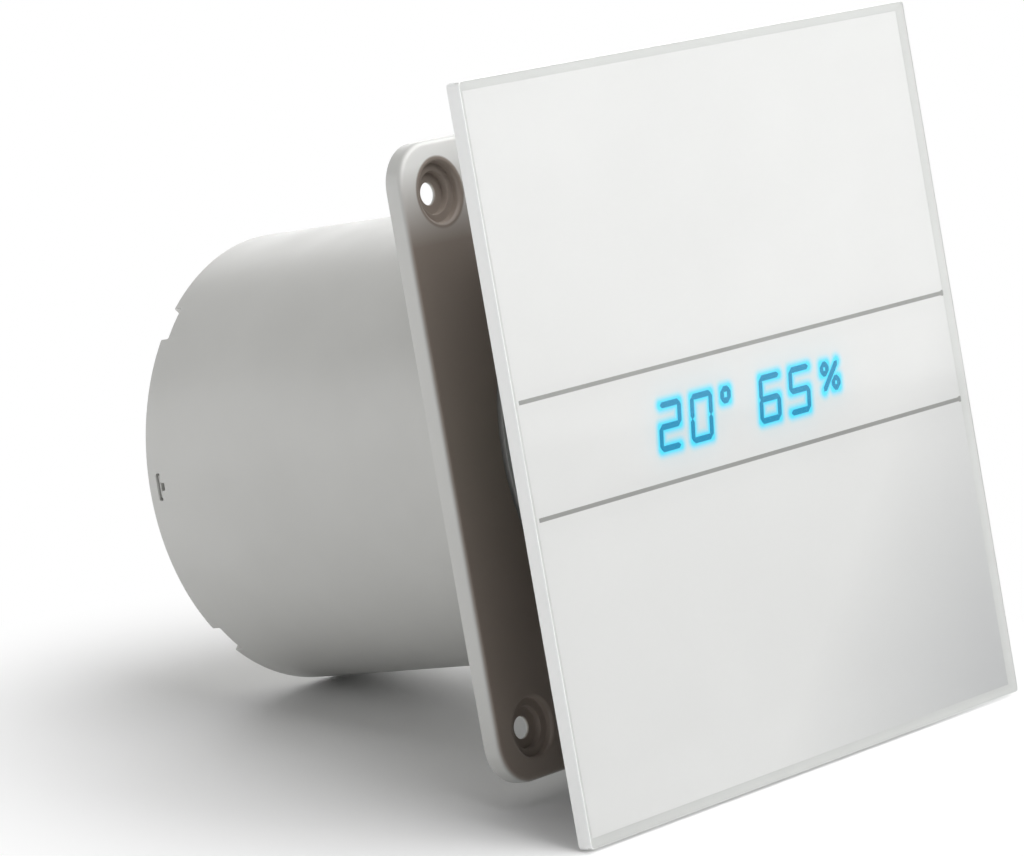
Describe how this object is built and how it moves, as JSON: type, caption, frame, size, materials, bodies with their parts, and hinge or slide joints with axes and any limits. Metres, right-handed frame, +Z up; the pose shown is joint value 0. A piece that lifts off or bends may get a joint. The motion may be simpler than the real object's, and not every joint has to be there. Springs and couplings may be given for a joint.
{
  "type": "wall extractor fan",
  "caption": "Axial extractor fan for a round duct: square glass front with a temperature and humidity display, slim wall base, motor, impeller and spring-shut back-draught flaps.",
  "frame": {"origin": "on the spigot's axis in the wall plane, which is the back face of the mounting base", "axes": "+Y along the spigot's axis into the wall, the glass faces -Y, +Z up on the wall, +X to the right seen from the room"},
  "size_m": [0.15, 0.1248, 0.15],
  "materials": {
    "shell_plastic": "satin light grey moulded ABS",
    "white_plastic": "satin white moulded plastic",
    "panel_glass": "polished glass, white on its back",
    "dark_plastic": "matt dark moulded ABS",
    "black_plastic": "semi-gloss black",
    "steel": "ground",
    "screw_steel": "zinc plated",
    "zinc_casting": "die-cast",
    "laminated_steel": "stacked sheet edges, varnished",
    "copper": "enamelled copper",
    "rubber": "matt",
    "circuit_board": "solder-masked board",
    "terminal_plastic": "moulded polyamide",
    "lead_sheath": "soft insulation"
  },
  "bodies": {
    "casing": {"housing": "shell_plastic", "cable_grommet": "rubber", "inlet_guard": "shell_plastic", "motor_carrier": "shell_plastic", "motor_cap": "shell_plastic", "cap_screw_1": "screw_steel", "cap_screw_2": "screw_steel", "cap_screw_3": "screw_steel", "motor_core": "laminated_steel", "shading_strap_upper": "copper", "shading_strap_lower": "copper", "coil_bobbin": "white_plastic", "coil_winding": "copper", "front_bearing_bracket": "zinc_casting", "rear_bearing_bracket": "zinc_casting", "front_bearing": "steel", "rear_bearing": "steel", "bracket_screw_1": "screw_steel", "bracket_screw_2": "screw_steel", "control_board": "circuit_board", "terminal_block": "terminal_plastic", "terminal_screw_1": "screw_steel", "terminal_screw_2": "screw_steel", "terminal_screw_3": "screw_steel", "relay": "black_plastic", "capacitor": "dark_plastic", "humidity_sensor": "white_plastic", "display_socket": "black_plastic", "timer_trimmer_body": "white_plastic", "humidity_trimmer_body": "white_plastic", "electronics_cover": "shell_plastic", "cover_screw_1": "screw_steel", "cover_screw_2": "screw_steel", "motor_lead": "lead_sheath", "shutter_frame": "shell_plastic", "flap_pin": "steel", "flap_spring": "steel"},
    "impeller": {"motor_shaft": "steel", "rotor": "zinc_casting", "shaft_clip": "steel", "impeller": "white_plastic"},
    "front_panel": {"glass_panel": "panel_glass", "panel_carrier": "dark_plastic", "display_module": "black_plastic", "display_board": "circuit_board", "display_screw_1": "screw_steel", "display_screw_2": "screw_steel", "display_plug": "black_plastic"},
    "left_flap": {"left_flap": "white_plastic"},
    "right_flap": {"right_flap": "white_plastic"},
    "timer_trimmer": {"timer_trimmer_knob": "terminal_plastic"},
    "humidity_trimmer": {"humidity_trimmer_knob": "terminal_plastic"}
  },
  "joints": [
    {"name": "impeller_spin", "type": "hinge", "parent": "casing", "child": "impeller", "pos_m": [0, 0.009, 0], "axis": [0, 1, 0], "continuous": true},
    {"name": "front_panel_pull_off", "type": "slide", "parent": "casing", "child": "front_panel", "axis": [0, -1, 0], "range_m": [0, 0.045]},
    {"name": "left_flap_hinge", "type": "hinge", "parent": "casing", "child": "left_flap", "pos_m": [0, 0.0885, 0], "axis": [0, 0, -1], "range_deg": [0, 80], "stiffness_Nm_per_rad": 0.0004, "springref_deg": -17.19},
    {"name": "right_flap_hinge", "type": "hinge", "parent": "casing", "child": "right_flap", "pos_m": [0, 0.0885, 0], "axis": [0, 0, 1], "range_deg": [0, 80], "stiffness_Nm_per_rad": 0.0004, "springref_deg": -17.19},
    {"name": "timer_trimmer_turn", "type": "hinge", "parent": "casing", "child": "timer_trimmer", "pos_m": [0.0565, -0.0145, -0.007], "axis": [0, 1, 0], "range_deg": [-135, 135]},
    {"name": "humidity_trimmer_turn", "type": "hinge", "parent": "casing", "child": "humidity_trimmer", "pos_m": [0.0565, -0.0145, 0.007], "axis": [0, 1, 0], "range_deg": [-135, 135]}
  ]
}
